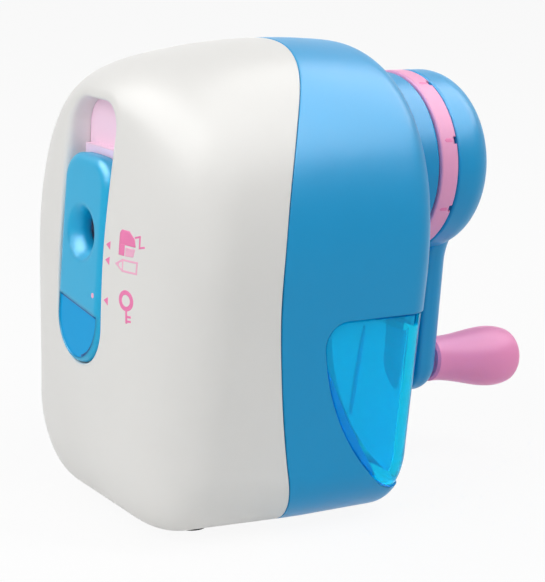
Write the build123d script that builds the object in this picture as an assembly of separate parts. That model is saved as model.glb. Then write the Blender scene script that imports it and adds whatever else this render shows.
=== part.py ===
"""Hand-crank pencil sharpener: a rounded two-shell case, a sliding pencil gate in front, a clear
shavings tray at the lower rear, and a crank whose shaft turns a planetary cutter head inside.

Millimetres. X is to the right seen from the front, Y runs rearward, Z is up from the table.
Depths are written from the front face; the finished pieces are moved so that the whole depth,
gate to crank knob, is centred on Y = 0.
"""
from build123d import *
import math
import os

# Case: half widths, heights and the rounding of the front and rear ends
FOOT_H = 1.5
HALF_W_FRONT = 35.9
HALF_W_REAR = 36.6
FLARE = 0.05
DEPTH = 71.6
TOP_FRONT = 102.7
TOP_MID = 110.0
TOP_REAR = 109.0
SHOULDER_Z = 59.0
CORNER_R = 18.0
CORNER_REAR = 14.6
CORNER_RAMP = (18.0, 43.0)
CROWN_RISE = 0.66
CROWN_REACH = 0.65
FRONT_ROUND = {"depth": 17.9, "side": 27.0, "top": 6.0, "bottom": 28.0, "power": 2.33}
REAR_ROUND = {"depth": 7.7, "side": 9.2, "top": 10.3, "bottom": 8.3, "power": 2.18}
ROUND_STEPS = (0, 6, 14, 24, 36, 50, 65, 80, 90)
MID_COUNT = 11
WALL = 2.4

# The front and the gate lean back, about a line at this height; the case's lean fades out over the depth
FRONT_LEAN = 1.6
GATE_LEAN = 2.6
LEAN_Z = 60.0
LEAN_REACH = 30.0

# Seam between the white front and the blue rear, in (depth, height)
SEAM = [(40.2, -4), (34.6, 18), (31.1, 37.5), (28.9, 65), (31.4, 84), (36.0, 96), (43.8, 107.3), (52, 116)]
SEAM_GAP = 0.14

# Gate slot in the front face, its sleeve, and the sliding gate
SLOT_W = 21.0
SLOT_BOTTOM = 38.2
SLOT_TOP = 97.8
SLOT_CORNER = 6.8
SLEEVE_T = 3.5
SLEEVE_END = 7.0
SLIDER_FIT = 0.3
SLIDER_PROUD = 1.0
SLIDER_BACK = 2.8
BOSS_BACK = 4.2
SLIDER_TRAVEL = 11.8
PENCIL_R = 4.25
FUNNEL_R = 6.5
FUNNEL_DEPTH = 3.0
GATE_TOP = 85.6
GATE_CORNER = 6.5
GATE_CROWN = 0.5
GATE_EDGE = 2.0
INLAY_TOP = 51.8
INLAY_SLANT = -7.0
INLAY_RIM = 1.1

# Crank axis and the pieces along it
AXIS_Z = 80.2
PENCIL_WAY_R = 4.6
GUIDE_FACE = 9.5
GUIDE_T = 2.0
FRAME_Y = 27.0
FRAME_T = 2.5
ROD_R = 1.5
ROD_Z = (AXIS_Z - 10.8, AXIS_Z + 10.8)
GUIDE_SCREWS = [(-16.6, 47), (16.6, 47), (-16.6, 90), (16.6, 90)]
FRAME_SCREWS = [(-24, 62), (24, 62), (-22, 93.5), (22, 93.5)]

# Planetary cutter head
MODULE = 1.0
RING_TEETH = 33
PINION_TEETH = 10
RING_R = MODULE * RING_TEETH / 2
PINION_R = MODULE * PINION_TEETH / 2
TILT = 11.0
PINION_Y = 34.7
PLANET_R = RING_R - PINION_R * math.cos(math.radians(TILT))
CUTTER_R = 6.4
CUTTER_SPAN = (2.4, 26.4)
CUTTER_TEETH = 12
AXLE_R = 1.5
CARRIER_R = 15.3
CARRIER_FRONT = (29.9, 31.9)
CARRIER_REAR = (62.6, 66.0)
SHAFT_R = 3.2
SHAFT_SPAN = (63.6, 92.0)
STOP_R = 1.4
STOP_TIP = 61.0

# Crank outside the case
COLLAR_R = 21.2
COLLAR_END = 76.1
HUB_R = 21.8
HUB_SPAN = (76.5, 82.6)
BARREL_R = 16.8
DIAL_R = 22.2
DIAL_SPAN = (82.8, 87.9)
DIAL_FIRST = -19.0
DIAL_CLICK = 44.0
CAP_SPAN = (88.1, 100.3)
CAP_ROUND = 7.6
ARM_W = 15.0
ARM_T = 7.8
ARM_EDGE = 5.0
ARM_BLEND = 12.0
ARM_ROOT_R = DIAL_R - 2
ARM_LEAN = 2.0
KNOB_Z = 28.0
KNOB_DROOP = 4.0
KNOB_LENGTH = 28.2
KNOB_NECK_R = 5.8
KNOB_R = 7.85
KNOB_TIP_R = 2.6
PIN_R = 2.0

# Shavings tray
TRAY_TOP = 51.2
TRAY_FRONT = 41.4
TRAY_FIT = 0.5
TRAY_WALL = 1.9
TRAY_SET_BACK = 0.35
CRADLE_T = 1.6

# Underside
FEET = [(-13.5, 22), (13.5, 22), (-13.5, 57), (13.5, 57)]
FOOT_R = 4.0
BASE_SCREWS = [(-5, 28), (5, 28), (-5, 52), (5, 52)]
TIE_T = 2.5

FAR = 90
KNOB_START = CAP_SPAN[1] - (AXIS_Z - KNOB_Z) * math.tan(math.radians(ARM_LEAN))
KNOB_TURN = math.radians(KNOB_DROOP)
REAR_END = KNOB_START + KNOB_LENGTH * math.cos(KNOB_TURN) + KNOB_TIP_R * math.sin(KNOB_TURN)
DIAL_MID = (DIAL_SPAN[0] + DIAL_SPAN[1]) / 2
HOLE_Z = AXIS_Z - SLIDER_TRAVEL
DISH_FRONT = (HOLE_Z - LEAN_Z) * math.sin(math.radians(GATE_LEAN)) - SLIDER_PROUD
BORE_START = DISH_FRONT + FUNNEL_DEPTH
LEANING = Pos(0, 0, LEAN_Z) * Rot(-GATE_LEAN, 0, 0) * Pos(0, 0, -LEAN_Z)


def along(face, y0, y1):
    """Carry a face drawn in (x, z) from depth y0 to depth y1."""
    return extrude(Plane.XZ.offset(-y1) * face, y1 - y0)


def across(face, x0, x1):
    """Carry a face drawn in (depth, z) from x0 to x1."""
    return extrude(Plane.YZ.offset(x0) * face, x1 - x0)


def upward(face, z0, z1):
    """Carry a face drawn in (x, depth) from z0 to z1."""
    return extrude(Plane.XY.offset(z0) * face, z1 - z0)


def rod(radius, y0, y1, x=0.0, z=AXIS_Z):
    """A round bar along the depth."""
    return along(Pos(x, z) * Circle(radius), y0, y1)


def tube(radius, bore, y0, y1, x=0.0, z=AXIS_Z):
    """A round tube along the depth."""
    return along(Pos(x, z) * (Circle(radius) - Circle(bore)), y0, y1)


def slot_face(grow=0.0, crown=0.0, top=SLOT_TOP, corner=SLOT_CORNER):
    """Front view of the slot: round lower end, straight sides, level or crowned top with round corners."""
    half = SLOT_W / 2 + grow
    low = SLOT_BOTTOM + SLOT_W / 2
    side = top + grow - crown
    foot = ThreePointArc((-half, low), (0, low - half), (half, low))
    ends = (half, side), (-half, side)
    lid = ThreePointArc(ends[0], (0, side + crown), ends[1]) if crown else Line(*ends)
    face = make_face([foot, Line((half, low), ends[0]), lid, Line(ends[1], (-half, low))])
    return fillet(face.vertices().group_by(Axis.Y)[-1], corner + grow)


def block(x0, x1, y0, y1, z0, z1):
    """A plain box between two corners."""
    return Pos((x0 + x1) / 2, (y0 + y1) / 2, (z0 + z1) / 2) * Box(x1 - x0, y1 - y0, z1 - z0)


def case_section(y, lean, half_w, top, bottom, corner):
    """One closed outline across the case: flat bottom, round lower corners, flared sides, arched crown."""
    low = half_w * (1 - FLARE)
    high = half_w * (1 + FLARE)
    slope = (high - low) / (SHOULDER_Z - bottom - corner)
    rise = CROWN_RISE * (top - SHOULDER_Z)
    pull = corner * 0.45
    edges = [Line((-(low - corner), bottom), (low - corner, bottom))]
    foot = bottom + corner
    corner_pts = [(low - corner, bottom), (low - pull, bottom), (low, bottom + pull), (low, foot)]
    shoulder = (high + slope * rise, SHOULDER_Z + rise)
    crown_pts = [(high, SHOULDER_Z), shoulder, (CROWN_REACH * high, top), (0, top)]
    for side in (1, -1):
        edges.append(Bezier(*[(side * x, z) for x, z in corner_pts]))
        edges.append(Line((side * low, foot), (side * high, SHOULDER_Z)))
        edges.append(Bezier(*[(side * x, z) for x, z in crown_pts]))
    turn = math.radians(lean)
    plane = Plane(origin=(0, y, LEAN_Z), x_dir=(1, 0, 0), z_dir=(0, -math.cos(turn), math.sin(turn)))
    return plane * Pos(0, -LEAN_Z) * make_face(edges)


def case_body(inset):
    """The whole case as one solid, or its inside when inset by a wall thickness."""
    stations = []
    for step in ROUND_STEPS:
        turn = math.radians(step)
        power = 2 / FRONT_ROUND["power"]
        depth = FRONT_ROUND["depth"] * (1 - math.cos(turn) ** power if step < 90 else 1)
        stations.append((depth, FRONT_ROUND, 1 - math.sin(turn) ** power))
    first = FRONT_ROUND["depth"]
    last = DEPTH - REAR_ROUND["depth"]
    for index in range(1, MID_COUNT + 1):
        stations.append((first + (last - first) * index / (MID_COUNT + 1), REAR_ROUND, 0.0))
    for step in reversed(ROUND_STEPS):
        turn = math.radians(step)
        power = 2 / REAR_ROUND["power"]
        depth = REAR_ROUND["depth"] * (1 - math.cos(turn) ** power if step < 90 else 1)
        stations.append((DEPTH - depth, REAR_ROUND, 1 - math.sin(turn) ** power))
    sections = []
    for depth, rounding, share in stations:
        part = depth / DEPTH
        full_w = HALF_W_FRONT + (HALF_W_REAR - HALF_W_FRONT) * part
        half_w = full_w - rounding["side"] * share
        bulge = (TOP_MID - (TOP_FRONT + TOP_REAR) / 2) * 4 * part * (1 - part)
        top = TOP_FRONT + (TOP_REAR - TOP_FRONT) * part + bulge - rounding["top"] * share
        bottom = FOOT_H + rounding["bottom"] * share
        ramp = min(1, max(0, (depth - CORNER_RAMP[0]) / (CORNER_RAMP[1] - CORNER_RAMP[0])))
        corner = (CORNER_R + (CORNER_REAR - CORNER_R) * ramp) * (half_w / full_w) ** 0.6
        y = inset + depth * (DEPTH - 2 * inset) / DEPTH
        scale = (corner - inset) / corner
        lean = FRONT_LEAN * max(0, 1 - depth / LEAN_REACH)
        size = (half_w - inset, top - inset, bottom + inset, corner * scale)
        sections.append(case_section(y, lean, *size))
    return loft(sections)


def ahead_of_seam(shift):
    """Everything in front of the seam, moved rearward by shift."""
    line = Spline([(y + shift, z) for y, z in SEAM])
    rest = Polyline(line @ 1, (-20, SEAM[-1][1]), (-20, SEAM[0][1]), line @ 0)
    return across(make_face([line, rest]), -60, 60)


def tray_face(grow=0.0):
    """Side view of the tray: level top, round front corner, curved floor, open to the rear."""
    floor = ThreePointArc((TRAY_FRONT, TRAY_TOP), (47.8, 27.8), (61.0, 11.0))
    toe = TangentArc((61.0, 11.0), (68.0, 9.0), tangent=floor % 1)
    rest = Polyline((68.0, 9.0), (FAR, 9.0), (FAR, TRAY_TOP), (TRAY_FRONT, TRAY_TOP))
    face = make_face([floor, toe, rest])
    corner = face.vertices().sort_by_distance((TRAY_FRONT, TRAY_TOP))[0]
    face = fillet(corner, 5.0)
    return offset(face, grow, kind=Kind.INTERSECTION) if grow else face


OUTER = case_body(0.0)
INNER = case_body(WALL)
SHELL = OUTER - INNER
SLOT = slot_face()


def screw(head_r, head_h, shank_r, length):
    """A plain pan-head screw along +Y, its head's outer face at the origin."""
    return rod(head_r, 0, head_h, z=0) + rod(shank_r, head_h, length, z=0)


def front_shell():
    """White front casing: slot with a sleeve behind it, and posts for the guide plate and the frame."""
    shell = SHELL & ahead_of_seam(0.0)
    sleeve = along(slot_face(SLEEVE_T), -3, SLEEVE_END)
    posts = Part() + [rod(2.5, 1.0, GUIDE_FACE, x, z) for x, z in GUIDE_SCREWS]
    posts += [rod(3.2, 1.0, FRAME_Y, x, z) for x, z in FRAME_SCREWS]
    shell += (sleeve + posts) & OUTER
    shell -= along(SLOT, -5, SLEEVE_END + 1)
    shell -= [rod(1.25, GUIDE_FACE - 6.0, GUIDE_FACE + 1, x, z) for x, z in GUIDE_SCREWS]
    shell -= [rod(1.25, FRAME_Y - 8, FRAME_Y + 1, x, z) for x, z in FRAME_SCREWS]
    return shell - underside_holes()


def rear_shell():
    """Blue rear casing: side window for the tray, bearing hole, and the tongue that keeps the tray in."""
    shell = SHELL - ahead_of_seam(SEAM_GAP)
    shell -= across(tray_face(TRAY_FIT), -60, 60)
    tongue = block(-30, 30, 66.0, 67.2, 48.9, 54.0) + block(-30, 30, 66.0, 69.0, 51.8, 54.0)
    shell += tongue & case_body(0.6)
    shell -= rod(6.02, 60, 80)
    return shell - underside_holes()


def underside_holes():
    """Pockets for the feet and counterbored holes for the base screws."""
    holes = Part() + [upward(Pos(x, y) * Circle(FOOT_R + 0.05), 0, FOOT_H + 0.8) for x, y in FEET]
    for x, y in BASE_SCREWS:
        holes += upward(Pos(x, y) * Circle(2.6), 0, FOOT_H + 1.4)
        holes += upward(Pos(x, y) * Circle(1.4), 0, FOOT_H + WALL + 1)
    return holes


def tie_plate():
    """Plate on the case floor that joins the two shells across the seam."""
    floor = FOOT_H + WALL + 0.2
    plate = upward(Pos(0, 40) * RectangleRounded(30, 40, 4), floor, floor + TIE_T)
    return plate - [upward(Pos(x, y) * Circle(1.25), 0, 20) for x, y in BASE_SCREWS]


def base_screws():
    """Four screws from below into the tie plate."""
    one = Rot(90, 0, 0) * screw(2.4, 1.2, 1.2, 4.7)
    return [Pos(x, y, FOOT_H + 0.1) * one for x, y in BASE_SCREWS]


def rubber_feet():
    """Four round feet seated in pockets under the case."""
    return [upward(Pos(x, y) * Circle(FOOT_R), 0, FOOT_H + 0.75) for x, y in FEET]


def gate_face():
    """Front view of the gate, which fits the slot with a gap all round."""
    return slot_face(-SLIDER_FIT, GATE_CROWN, GATE_TOP + SLIDER_FIT, GATE_CORNER + SLIDER_FIT)


def slider():
    """Sliding pencil gate: a thick pad in the slot, with a keeper flange behind the sleeve."""
    pad = along(gate_face(), -SLIDER_PROUD, SLIDER_BACK)
    pad = fillet(pad.edges().group_by(Axis.Y)[0], GATE_EDGE)
    pad -= along(inlay_face(), -5, 0.4)
    pad = LEANING * pad + rod(PENCIL_R + 2, 1.0, BOSS_BACK, z=HOLE_Z)
    dish = [(PENCIL_R, BORE_START), (PENCIL_R + 1.0, DISH_FRONT + 1.1), (FUNNEL_R, DISH_FRONT)]
    profile = Polyline((FUNNEL_R, DISH_FRONT), (FUNNEL_R, -5), (0, -5), (0, BORE_START), dish[0])
    funnel = revolve(make_face([ThreePointArc(*dish), profile]), Axis.Y)
    pad -= Pos(0, 0, HOLE_Z) * funnel
    pad -= rod(PENCIL_R, BORE_START - 0.5, BOSS_BACK + 1, z=HOLE_Z)
    stem = block(-8, 8, 1.2, SLEEVE_END + 0.3, 44, 60)
    flange = block(-11.9, 11.9, SLEEVE_END + 0.3, GUIDE_FACE - 0.3, 42, 62)
    return pad + stem + flange


def inlay_face(gap=0.0):
    """Lower end of the gate inside a narrow rim, with a slanting upper edge."""
    edge = SLIDER_FIT + INLAY_RIM + gap
    below = Pos(0, INLAY_TOP - gap) * Rot(0, 0, INLAY_SLANT) * Pos(0, -20) * Rectangle(60, 40)
    return slot_face(-edge) & below


def slider_inlay():
    """Glossy panel let into the lower end of the gate."""
    return LEANING * along(inlay_face(0.12), -0.45, 0.4)


def guide_plate():
    """Pink plate behind the gate: rails for its flange, stepped panel seen above it, pencil way."""
    rear = GUIDE_FACE + GUIDE_T
    plate = along(Pos(0, 67.75) * RectangleRounded(38.6, 61.5, 10), GUIDE_FACE, rear)
    plate += [block(x - 0.9, x + 0.9, SLEEVE_END, GUIDE_FACE, 42, 94) for x in (-13.1, 13.1)]
    panel = slot_face(-0.12) & Pos(0, 90) * Rectangle(60, 29)
    plate += along(panel, 6.7, GUIDE_FACE)
    plate += block(-8.2, 8.2, 4.4, 6.7, 76, 87)
    plate -= rod(PENCIL_WAY_R, 0, rear + 1)
    plate -= [rod(ROD_R + 0.02, rear - 1.5, rear + 1, z=z) for z in ROD_Z]
    return plate - [rod(1.5, 0, rear + 1, x, z) for x, z in GUIDE_SCREWS]


def guide_screws():
    """Four screws that hold the guide plate on its posts."""
    one = Rot(0, 0, 180) * screw(2.4, 1.4, 1.2, 8.5)
    return [Pos(x, GUIDE_FACE + GUIDE_T + 1.4, z) * one for x, z in GUIDE_SCREWS]


def gear_frame():
    """Plate across the case with the skirt for the ring gear and the nose the cutter head runs on."""
    rear = FRAME_Y + FRAME_T
    face = Pos(0, AXIS_Z) * Circle(23.5) + Pos(0, 65) * RectangleRounded(54, 16, 5)
    face += [Pos(x, z) * Circle(3.4) for x, z in FRAME_SCREWS]
    frame = along(face, FRAME_Y, rear)
    frame += tube(22.5, 20.3, rear, 38.0)
    frame += rod(6.0, rear, 32.9)
    frame -= rod(PENCIL_WAY_R, 20, 40)
    frame -= [rod(ROD_R + 0.02, 20, 40, z=z) for z in ROD_Z]
    return frame - [rod(1.5, 20, 40, x, z) for x, z in FRAME_SCREWS]


def frame_screws():
    """Four screws that hold the gear frame on its posts."""
    one = Rot(0, 0, 180) * screw(2.6, 1.5, 1.2, 11.0)
    return [Pos(x, FRAME_Y + FRAME_T + 1.5, z) * one for x, z in FRAME_SCREWS]


def tooth_ring(teeth, low_r, high_r, low_half, high_half, phase):
    """Closed outline of straight-flanked teeth; the halves are half tooth widths in millimetres."""
    points = []
    for index in range(teeth):
        middle = phase + 2 * math.pi * index / teeth
        corners = ((low_r, -low_half), (high_r, -high_half), (high_r, high_half), (low_r, low_half))
        for radius, half in corners:
            angle = middle + half / radius
            points.append((radius * math.cos(angle), radius * math.sin(angle)))
    return make_face(Polyline(*points, close=True))


def ring_gear():
    """Fixed internal gear; a tooth space stands at the top, where the cutter's pinion meshes."""
    space = tooth_ring(RING_TEETH, RING_R - 0.65, RING_R + 1.25, 1.25, 0.72, math.pi / 2)
    return along(Pos(0, AXIS_Z) * (Circle(20.25) - space), 34.2, 37.0)


def guide_rods():
    """Two steel rods that the pencil chuck slides on."""
    return [rod(ROD_R, GUIDE_FACE + GUIDE_T - 1.4, FRAME_Y + FRAME_T - 0.3, z=z) for z in ROD_Z]


def coil(radius, wire, turns, length):
    """An open coil spring along +Z from the origin, one unbroken wire; prints its least gap."""
    path = Helix(pitch=(length - wire) / turns, height=length - wire, radius=radius)
    print(f"coil gap {(length - wire) / turns - wire:.2f} mm")
    spring = sweep(Plane(origin=path @ 0, z_dir=path % 0) * Circle(wire / 2), path=path)
    return Pos(0, 0, wire / 2) * spring


def return_springs():
    """Two springs on the rods that push the chuck, and the pencil, back out."""
    spring = Rot(-90, 0, 0) * coil(2.6, 0.6, 6, 10.0)
    return [Pos(0, 16.8, z) * spring for z in ROD_Z]


def chuck_face():
    """Cross-shaped front view of the pencil chuck, with its pencil and rod holes."""
    face = RectangleRounded(34, 12.4, 3) + RectangleRounded(13, 33, 3)
    face -= Circle(5.2)
    return Pos(0, AXIS_Z) * face - [Pos(0, z) * Circle(ROD_R + 0.06) for z in ROD_Z]


def chuck_carriage():
    """Sliding block that holds the two grip jaws in a pocket."""
    body = along(chuck_face(), 14.0, 19.6)
    body -= block(-14.8, 14.8, 13, 17.6, AXIS_Z - 4.2, AXIS_Z + 4.2)
    return body - [rod(3.4, 16.6, 25, z=z) for z in ROD_Z]


def chuck_cover():
    """Front plate that closes the jaw pocket."""
    return along(chuck_face(), 12.6, 13.98)


def jaw(side):
    """One grip jaw; its round notch meets the pencil."""
    body = block(2.6, 9.8, 14.2, 17.4, AXIS_Z - 4, AXIS_Z + 4) - rod(3.3, 10, 20)
    return body if side > 0 else mirror(body, Plane.YZ)


def jaw_springs():
    """Two small springs that press the jaws on the pencil."""
    spring = Rot(0, 90, 0) * coil(1.2, 0.4, 4, 4.4)
    middle = (14.2 + 17.4) / 2
    return [Pos(10.1, middle, AXIS_Z) * spring, Pos(-14.5, middle, AXIS_Z) * spring]


PLANET = Plane(
    origin=(0, PINION_Y, AXIS_Z + PLANET_R),
    x_dir=(1, 0, 0),
    z_dir=(0, math.cos(math.radians(TILT)), -math.sin(math.radians(TILT))),
)


def cutter_carrier():
    """Turning cage of the cutter head: front plate, two lower bars and rear disc."""
    cage = tube(CARRIER_R, 6.08, *CARRIER_FRONT) + rod(CARRIER_R, *CARRIER_REAR)
    bars = tube(CARRIER_R, 12.6, CARRIER_FRONT[1], CARRIER_REAR[0])
    for x in (-1, 1):
        side = block(min(x * 6, x * 20), max(x * 6, x * 20), 20, 70, AXIS_Z - 20, AXIS_Z - 6)
        cage += bars & side
    cage -= PLANET * (Pos(0, 0, 12.5) * Cylinder(AXLE_R + 0.02, 37.2))
    cage -= rod(SHAFT_R + 0.02, SHAFT_SPAN[0], 70)
    return cage - rod(STOP_R + 0.3, 60, 70)


def cutter_axle():
    """Pin that the cutter turns on."""
    return PLANET * (Pos(0, 0, 13.2) * Cylinder(AXLE_R, 35.2))


def helical_cutter():
    """Fluted cutter whose teeth twist along its length."""
    half_low = math.pi * (CUTTER_R - 1.3) / CUTTER_TEETH * 0.86
    teeth = tooth_ring(CUTTER_TEETH, CUTTER_R - 1.3, CUTTER_R, half_low, 0.25, 0.0)
    length = CUTTER_SPAN[1] - CUTTER_SPAN[0]
    body = Solid.extrude_linear_with_rotation(teeth.face(), (0, 0, 0), (0, 0, length), 75)
    body = Part() + body - Pos(0, 0, length / 2) * Cylinder(AXLE_R + 0.08, length + 2)
    return PLANET * (Pos(0, 0, CUTTER_SPAN[0]) * body)


def cutter_pinion():
    """Small gear on the cutter that rolls inside the ring gear."""
    teeth = tooth_ring(PINION_TEETH, PINION_R - 1.1, PINION_R + 0.7, 0.95, 0.34, math.pi / 2)
    gear = extrude(teeth - Circle(AXLE_R + 0.08), 2.4)
    return PLANET * (Pos(0, 0, -1.2) * gear)


def rear_bush():
    """Bearing bush in the rear wall, flanged inside."""
    bush = tube(6.0, SHAFT_R + 0.06, 67.0, COLLAR_END)
    return bush + tube(9.0, SHAFT_R + 0.06, 67.0, DEPTH - WALL - 0.06)


def rear_collar():
    """Fixed ring that fills the space between the rounded rear wall and the turning hub."""
    ring = tube(COLLAR_R, 6.05, 62.0, COLLAR_END)
    rear_edges = ring.edges().filter_by(GeomType.CIRCLE).group_by(Axis.Y)[-1]
    ring = fillet(rear_edges.sort_by(SortBy.LENGTH)[-1], 1.0)
    return ring - OUTER


def crank_shaft():
    """Hollow steel shaft with a cross slot for the stop's pin."""
    shaft = tube(SHAFT_R, STOP_R + 0.1, *SHAFT_SPAN)
    return shaft - block(-10, 10, DIAL_MID - 2.6, DIAL_MID + 2.6, AXIS_Z - 1.1, AXIS_Z + 1.1)


def hub_base():
    """Inner half of the crank hub, with the barrel that the dial turns on."""
    base = rod(HUB_R, *HUB_SPAN)
    base = fillet(base.edges().filter_by(GeomType.CIRCLE), 0.8)
    base += rod(BARREL_R, HUB_SPAN[1], CAP_SPAN[0] - 0.02)
    base -= rod(SHAFT_R + 0.02, 70, 100)
    base -= block(-30, 30, HUB_SPAN[1] + 0.2, 95, AXIS_Z - 1.1, AXIS_Z + 1.1)
    for z in (AXIS_Z - 11, AXIS_Z + 11):
        base -= rod(3.2, 70, HUB_SPAN[0] + 2.2, z=z) + rod(1.5, 70, 100, z=z)
    return base


def hub_screws():
    """Two screws that join the hub halves."""
    one = Pos(0, HUB_SPAN[0] + 0.4, 0) * screw(2.8, 1.7, 1.2, 17.0)
    return [Pos(0, 0, z) * one for z in (AXIS_Z - 11, AXIS_Z + 11)]


def dial_ring():
    """Point dial: a ring with five index notches and an inner groove for the stop's pin."""
    ring = tube(DIAL_R, BARREL_R + 0.08, *DIAL_SPAN)
    ring = fillet(ring.edges().filter_by(GeomType.CIRCLE).filter_by(lambda e: e.radius > 20), 0.6)
    ring -= tube(DIAL_R - 3, 15.0, DIAL_MID - 1.8, DIAL_MID + 1.8)
    for index in range(5):
        notch = block(-0.9, 0.9, DIAL_SPAN[1] - 1.1, 90, DIAL_R - 1.2, 30)
        ring -= Pos(0, 0, AXIS_Z) * Rot(0, DIAL_FIRST + DIAL_CLICK * index, 0) * notch
    return ring


def stop_rod():
    """Point stop: a rod through the shaft, moved by a cross pin that rides in the dial's groove."""
    stop = rod(STOP_R, STOP_TIP + 1.0, 93.5)
    tip = Plane.XZ.offset(-STOP_TIP - 1.0) * Pos(0, AXIS_Z) * Circle(STOP_R)
    stop += extrude(tip, 1.0, taper=35)
    pin = Pos(0, DIAL_MID, AXIS_Z) * Rot(0, 90, 0) * Cylinder(0.9, 2 * DIAL_R - 8)
    return stop + pin


def arm_face():
    """Outline of the arm, hanging along +Y from a disc inside the cap and blended into it."""
    length = (AXIS_Z - KNOB_Z) / math.cos(math.radians(ARM_LEAN))
    face = Circle(ARM_ROOT_R) + Pos(0, length) * Circle(ARM_W / 2)
    face += Pos(0, length / 2) * Rectangle(ARM_W, length)
    return fillet([v for v in face.vertices() if 12 < v.Y < 24], ARM_BLEND)


def crank_arm():
    """Outer half of the hub and the leaning arm that hangs from it, with a round outer edge."""
    turn = math.radians(ARM_LEAN)
    plane = Plane(
        origin=(0, CAP_SPAN[1], AXIS_Z),
        x_dir=(1, 0, 0),
        z_dir=(0, math.cos(turn), -math.sin(turn)),
    )
    arm = extrude(arm_face(), -ARM_T)
    arm = fillet(arm.edges().group_by(Axis.Z)[-1], ARM_EDGE)
    arm = plane * fillet(arm.edges().group_by(Axis.Z)[0], 1.2)
    arm -= block(-40, 40, 80, 120, AXIS_Z - 3, 120)
    cap = rod(DIAL_R, *CAP_SPAN)
    edges = cap.edges().filter_by(GeomType.CIRCLE).sort_by(Axis.Y)
    cap = fillet(edges[-1], CAP_ROUND)
    cap = fillet(cap.edges().filter_by(GeomType.CIRCLE).sort_by(Axis.Y)[0], 0.6)
    arm += cap
    arm -= rod(SHAFT_R + 0.02, 80, SHAFT_SPAN[1] + 0.2)
    arm -= rod(2.0, 80, 95.0)
    arm -= [rod(1.25, 80, 95.5, z=z) for z in (AXIS_Z - 11, AXIS_Z + 11)]
    return arm - KNOB_AXIS * (Pos(0, 0, -1.5) * Cylinder(PIN_R + 0.02, 9.0))


KNOB_AXIS = Plane(
    origin=(0, KNOB_START, KNOB_Z),
    x_dir=(1, 0, 0),
    z_dir=(0, math.cos(math.radians(KNOB_DROOP)), -math.sin(math.radians(KNOB_DROOP))),
)


def knob_pin():
    """Steel pin in the arm that the knob spins on."""
    return KNOB_AXIS * (Pos(0, 0, 10.2) * Cylinder(PIN_R, 32.0))


def knob():
    """Turned grip: narrow neck, swelling to its widest near a blunt round end."""
    start = 0.5
    end = KNOB_LENGTH
    swell = [(KNOB_NECK_R, start + 0.6), (6.1, 0.29 * end), (7.2, 0.52 * end)]
    swell += [(KNOB_R, 0.74 * end), (7.1, 0.91 * end)]
    side = Spline(swell)
    nose = ThreePointArc(swell[-1], (5.6, 0.974 * end), (KNOB_TIP_R, end))
    neck = [(KNOB_NECK_R - 0.6, start), (KNOB_NECK_R, start + 0.6)]
    rest = Polyline((KNOB_TIP_R, end), (0, end), (0, start), *neck)
    body = revolve(Plane.XZ * make_face([side, nose, rest]), Axis.Z)
    body -= Pos(0, 0, 13.3) * Cylinder(PIN_R + 0.07, 26.6)
    return KNOB_AXIS * body


def tray_cradle():
    """Trough that carries the tray, with a deck in front that leads shavings into it."""
    trough = across(offset(tray_face(), TRAY_FIT + CRADLE_T, kind=Kind.INTERSECTION), -60, 60)
    trough -= across(Pos(50, 60) * Rectangle(60, 17.2), -60, 60)
    slope = Polyline((42.5, 50.2), (42.5, 51.4), (30.4, 56.5), (30.4, 54.9), close=True)
    deck = across(make_face(slope), -60, 60)
    ribs = [block(x - 1, x + 1, 45, 60, FOOT_H + WALL + TIE_T + 0.25, 32) for x in (-10, 10)]
    cradle = (trough + deck + ribs) - across(tray_face(TRAY_FIT), -60, 60)
    return cradle & case_body(WALL + 0.15)


def chip_tray():
    """Clear shavings tray, open on top, with a grooved rear rim that runs on the rear shell's tongue."""
    outer = across(tray_face(), -60, 60) & case_body(TRAY_SET_BACK)
    hollow = across(Pos(0.5, 1.2) * offset(tray_face(), -TRAY_WALL, kind=Kind.INTERSECTION), -60, 60)
    hollow += across(Pos(60, TRAY_TOP) * Rectangle(27, 6), -60, 60)
    tray = outer - (hollow & case_body(TRAY_SET_BACK + TRAY_WALL))
    rim = block(-60, 60, 64.3, FAR, 47.2, TRAY_TOP) & case_body(TRAY_SET_BACK)
    tray += rim
    return tray - block(-60, 60, 65.7, 67.5, 48.6, TRAY_TOP + 1)


MIDDLE_Y = (REAR_END + slider().bounding_box().min.Y) / 2
PARTS = {
    "front_shell": front_shell,
    "rear_shell": rear_shell,
    "tie_plate": tie_plate,
    "base_screws": base_screws,
    "rubber_feet": rubber_feet,
    "slider": slider,
    "slider_inlay": slider_inlay,
    "guide_plate": guide_plate,
    "guide_screws": guide_screws,
    "gear_frame": gear_frame,
    "frame_screws": frame_screws,
    "ring_gear": ring_gear,
    "guide_rods": guide_rods,
    "return_springs": return_springs,
    "chuck_carriage": chuck_carriage,
    "chuck_cover": chuck_cover,
    "jaw_right": lambda: jaw(1),
    "jaw_left": lambda: jaw(-1),
    "jaw_springs": jaw_springs,
    "cutter_carrier": cutter_carrier,
    "cutter_axle": cutter_axle,
    "helical_cutter": helical_cutter,
    "cutter_pinion": cutter_pinion,
    "rear_bush": rear_bush,
    "rear_collar": rear_collar,
    "crank_shaft": crank_shaft,
    "hub_base": hub_base,
    "hub_screws": hub_screws,
    "dial_ring": dial_ring,
    "stop_rod": stop_rod,
    "crank_arm": crank_arm,
    "knob_pin": knob_pin,
    "knob": knob,
    "tray_cradle": tray_cradle,
    "chip_tray": chip_tray,
}


def main():
    """Make every piece, centre the depth, and write one file per piece."""
    os.makedirs("parts", exist_ok=True)
    for name, make in PARTS.items():
        shape = make()
        pieces = shape if isinstance(shape, list) else [shape]
        solids = [solid for piece in pieces for solid in piece.solids()]
        moved = [Pos(0, -MIDDLE_Y, 0) * solid for solid in solids]
        result = moved[0] if len(moved) == 1 else Compound(children=moved)
        export_step(result, f"parts/{name}.step")
        print(name, len(solids), f"{sum(solid.volume for solid in solids):.1f}")


main()
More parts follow.
